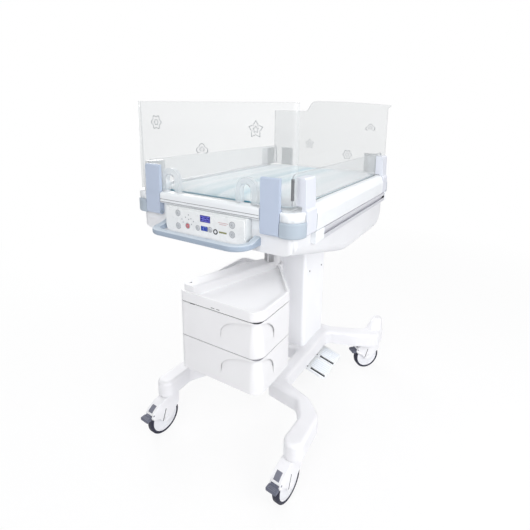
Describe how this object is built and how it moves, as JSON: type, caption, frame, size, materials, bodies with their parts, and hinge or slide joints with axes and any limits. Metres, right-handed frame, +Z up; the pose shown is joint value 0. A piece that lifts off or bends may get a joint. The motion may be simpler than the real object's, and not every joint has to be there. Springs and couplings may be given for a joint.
{
  "type": "infant radiant warmer cot",
  "caption": "Height-adjustable infant warming bed on casters, with clear fold-down panels, control box, accessory rails and swing-out drawers.",
  "frame": {"origin": "centre of the footprint on the floor, under the tyres' contact points", "axes": "+X to the right seen from the control box, +Y to the rear, away from the control box, +Z up"},
  "size_m": [0.68, 0.9664, 1.281],
  "materials": {
    "base_plastic": "satin moulded",
    "cast_frame": "as cast",
    "column_paint": "satin powder coat",
    "screw_steel": "plain",
    "motor_alloy": "plain",
    "bracket_steel": "powder coat",
    "pedal_pale": "smooth",
    "lift_alloy": "anodised",
    "rod_steel": "ground",
    "shell_plastic": "satin moulded",
    "frame_plastic": "satin moulded",
    "guard_blue": "satin, blue-grey",
    "rim_plastic": "satin moulded",
    "deck_plastic": "plain",
    "heater_mat": "plain",
    "mattress_cover": "coated cover, pale with blue-green stripes",
    "rail_alloy": "satin anodised",
    "box_plastic": "satin moulded",
    "face_foil": "smooth",
    "display_window": "glossy, dark blue",
    "bumper_blue": "satin",
    "store_plastic": "satin moulded",
    "pivot_steel": "ground",
    "drawer_plastic": "satin moulded",
    "clear_panel": "clear",
    "clear_port": "clear",
    "clamp_blue": "smooth, blue-grey",
    "key_grey": "smooth",
    "key_red": "smooth",
    "caster_white": "satin moulded",
    "hub_white": "smooth",
    "tyre_rubber": "smooth",
    "brake_dark": "satin"
  },
  "bodies": {
    "base": {"base_cover": "base_plastic", "base_frame": "cast_frame", "column_cover": "column_paint", "column_screws": "screw_steel", "lift_motor": "motor_alloy", "pedal_bracket": "bracket_steel"},
    "foot_pedal_front": {"foot_pedal_front": "pedal_pale"},
    "foot_pedal_rear": {"foot_pedal_rear": "pedal_pale"},
    "bed": {"lift_tube": "lift_alloy", "lift_rod": "rod_steel", "bed_shell": "shell_plastic", "bed_frame": "frame_plastic", "corner_guards": "guard_blue", "end_rims": "rim_plastic", "side_rims": "rim_plastic", "deck": "deck_plastic", "heater_pad": "heater_mat", "mattress": "mattress_cover", "accessory_rails": "rail_alloy", "control_box": "box_plastic", "control_face": "face_foil", "displays": "display_window", "bumper": "bumper_blue", "storage_arm": "store_plastic", "storage_tray": "store_plastic", "storage_pivot": "pivot_steel"},
    "front_screen": {"front_panel": "clear_panel", "front_clamps": "clamp_blue", "tube_ports": "clear_port"},
    "rear_screen": {"rear_panel": "clear_panel", "rear_clamps": "clamp_blue"},
    "right_screen": {"right_panel": "clear_panel", "right_clamps": "clamp_blue"},
    "left_screen": {"left_panel": "clear_panel", "left_clamps": "clamp_blue"},
    "drawer_lower": {"drawer_lower": "drawer_plastic"},
    "drawer_upper": {"drawer_upper": "drawer_plastic"},
    "key_left_upper": {"key_left_upper": "key_grey"},
    "key_left_lower": {"key_left_lower": "key_grey"},
    "key_right_upper": {"key_right_upper": "key_grey"},
    "key_right_lower": {"key_right_lower": "key_grey"},
    "key_set_down": {"key_set_down": "key_grey"},
    "key_set_up": {"key_set_up": "key_grey"},
    "key_alarm": {"key_alarm": "key_red"},
    "caster_front_left": {"caster_fork_front_left": "caster_white"},
    "wheel_front_left": {"wheel_hub_front_left": "hub_white", "tyre_front_left": "tyre_rubber"},
    "brake_front_left": {"brake_pedal_front_left": "brake_dark"},
    "caster_front_right": {"caster_fork_front_right": "caster_white"},
    "wheel_front_right": {"wheel_hub_front_right": "hub_white", "tyre_front_right": "tyre_rubber"},
    "brake_front_right": {"brake_pedal_front_right": "brake_dark"},
    "caster_rear_left": {"caster_fork_rear_left": "caster_white"},
    "wheel_rear_left": {"wheel_hub_rear_left": "hub_white", "tyre_rear_left": "tyre_rubber"},
    "brake_rear_left": {"brake_pedal_rear_left": "brake_dark"},
    "caster_rear_right": {"caster_fork_rear_right": "caster_white"},
    "wheel_rear_right": {"wheel_hub_rear_right": "hub_white", "tyre_rear_right": "tyre_rubber"},
    "brake_rear_right": {"brake_pedal_rear_right": "brake_dark"}
  },
  "joints": [
    {"name": "bed_lift", "type": "slide", "parent": "base", "child": "bed", "axis": [0, 0, 1], "range_m": [0, 0.25]},
    {"name": "foot_pedal_front_press", "type": "hinge", "parent": "base", "child": "foot_pedal_front", "pos_m": [0.082, 0.10425, 0.12], "axis": [0, 1, 0], "range_deg": [0, 8], "stiffness_Nm_per_rad": 3, "springref_deg": -6.88},
    {"name": "foot_pedal_rear_press", "type": "hinge", "parent": "base", "child": "foot_pedal_rear", "pos_m": [0.082, 0.10425, 0.12], "axis": [0, 1, 0], "range_deg": [0, 8], "stiffness_Nm_per_rad": 3, "springref_deg": -6.88},
    {"name": "caster_front_left_swivel", "type": "hinge", "parent": "base", "child": "caster_front_left", "pos_m": [-0.274, -0.32675, 0.144], "axis": [0, 0, 1], "continuous": true},
    {"name": "wheel_front_left_roll", "type": "hinge", "parent": "caster_front_left", "child": "wheel_front_left", "pos_m": [-0.27665, -0.36466, 0.0625], "axis": [0.9976, -0.0698, 0], "continuous": true},
    {"name": "brake_front_left_press", "type": "hinge", "parent": "caster_front_left", "child": "brake_front_left", "pos_m": [-0.28062, -0.42135, 0.10903], "axis": [0.9976, -0.0698, 0], "range_deg": [0, 12]},
    {"name": "caster_front_right_swivel", "type": "hinge", "parent": "base", "child": "caster_front_right", "pos_m": [0.274, -0.32675, 0.144], "axis": [0, 0, 1], "continuous": true},
    {"name": "wheel_front_right_roll", "type": "hinge", "parent": "caster_front_right", "child": "wheel_front_right", "pos_m": [0.27069, -0.36461, 0.0625], "axis": [0.9962, -0.0872, 0], "continuous": true},
    {"name": "brake_front_right_press", "type": "hinge", "parent": "caster_front_right", "child": "brake_front_right", "pos_m": [0.26573, -0.42123, 0.10903], "axis": [0.9962, -0.0872, 0], "range_deg": [0, 12]},
    {"name": "caster_rear_left_swivel", "type": "hinge", "parent": "base", "child": "caster_rear_left", "pos_m": [-0.3, 0.44325, 0.144], "axis": [0, 0, 1], "continuous": true},
    {"name": "wheel_rear_left_roll", "type": "hinge", "parent": "caster_rear_left", "child": "wheel_rear_left", "pos_m": [-0.28826, 0.40711, 0.0625], "axis": [0.9511, 0.309, 0], "continuous": true},
    {"name": "brake_rear_left_press", "type": "hinge", "parent": "caster_rear_left", "child": "brake_rear_left", "pos_m": [-0.27069, 0.35306, 0.10903], "axis": [0.9511, 0.309, 0], "range_deg": [0, 12]},
    {"name": "caster_rear_right_swivel", "type": "hinge", "parent": "base", "child": "caster_rear_right", "pos_m": [0.3, 0.44325, 0.144], "axis": [0, 0, 1], "continuous": true},
    {"name": "wheel_rear_right_roll", "type": "hinge", "parent": "caster_rear_right", "child": "wheel_rear_right", "pos_m": [0.27557, 0.41414, 0.0625], "axis": [0.766, -0.6428, 0], "continuous": true},
    {"name": "brake_rear_right_press", "type": "hinge", "parent": "caster_rear_right", "child": "brake_rear_right", "pos_m": [0.23904, 0.3706, 0.10903], "axis": [0.766, -0.6428, 0], "range_deg": [0, 12]},
    {"name": "front_screen_fold", "type": "hinge", "parent": "bed", "child": "front_screen", "pos_m": [0, -0.40275, 0.895], "axis": [1, 0, 0], "range_deg": [0, 105]},
    {"name": "rear_screen_fold", "type": "hinge", "parent": "bed", "child": "rear_screen", "pos_m": [0, 0.46125, 0.895], "axis": [-1, 0, 0], "range_deg": [0, 180]},
    {"name": "right_screen_fold", "type": "hinge", "parent": "bed", "child": "right_screen", "pos_m": [0.307, 0.02925, 0.895], "axis": [0, 1, 0], "range_deg": [0, 90]},
    {"name": "left_screen_fold", "type": "hinge", "parent": "bed", "child": "left_screen", "pos_m": [-0.307, 0.02925, 0.895], "axis": [0, -1, 0], "range_deg": [0, 90]},
    {"name": "drawer_lower_swing", "type": "hinge", "parent": "bed", "child": "drawer_lower", "pos_m": [-0.141, -0.33575, 0.322], "axis": [0, 0, -1], "range_deg": [0, 100]},
    {"name": "drawer_upper_swing", "type": "hinge", "parent": "bed", "child": "drawer_upper", "pos_m": [-0.141, -0.33575, 0.45], "axis": [0, 0, -1], "range_deg": [0, 100]},
    {"name": "key_left_upper_press", "type": "slide", "parent": "bed", "child": "key_left_upper", "axis": [0, 1, 0], "range_m": [0, 0.0012], "stiffness_N_per_m": 300, "springref_m": -0.001},
    {"name": "key_left_lower_press", "type": "slide", "parent": "bed", "child": "key_left_lower", "axis": [0, 1, 0], "range_m": [0, 0.0012], "stiffness_N_per_m": 300, "springref_m": -0.001},
    {"name": "key_right_upper_press", "type": "slide", "parent": "bed", "child": "key_right_upper", "axis": [0, 1, 0], "range_m": [0, 0.0012], "stiffness_N_per_m": 300, "springref_m": -0.001},
    {"name": "key_right_lower_press", "type": "slide", "parent": "bed", "child": "key_right_lower", "axis": [0, 1, 0], "range_m": [0, 0.0012], "stiffness_N_per_m": 300, "springref_m": -0.001},
    {"name": "key_set_down_press", "type": "slide", "parent": "bed", "child": "key_set_down", "axis": [0, 1, 0], "range_m": [0, 0.0012], "stiffness_N_per_m": 300, "springref_m": -0.001},
    {"name": "key_set_up_press", "type": "slide", "parent": "bed", "child": "key_set_up", "axis": [0, 1, 0], "range_m": [0, 0.0012], "stiffness_N_per_m": 300, "springref_m": -0.001},
    {"name": "key_alarm_press", "type": "slide", "parent": "bed", "child": "key_alarm", "axis": [0, 1, 0], "range_m": [0, 0.0012], "stiffness_N_per_m": 300, "springref_m": -0.001}
  ]
}
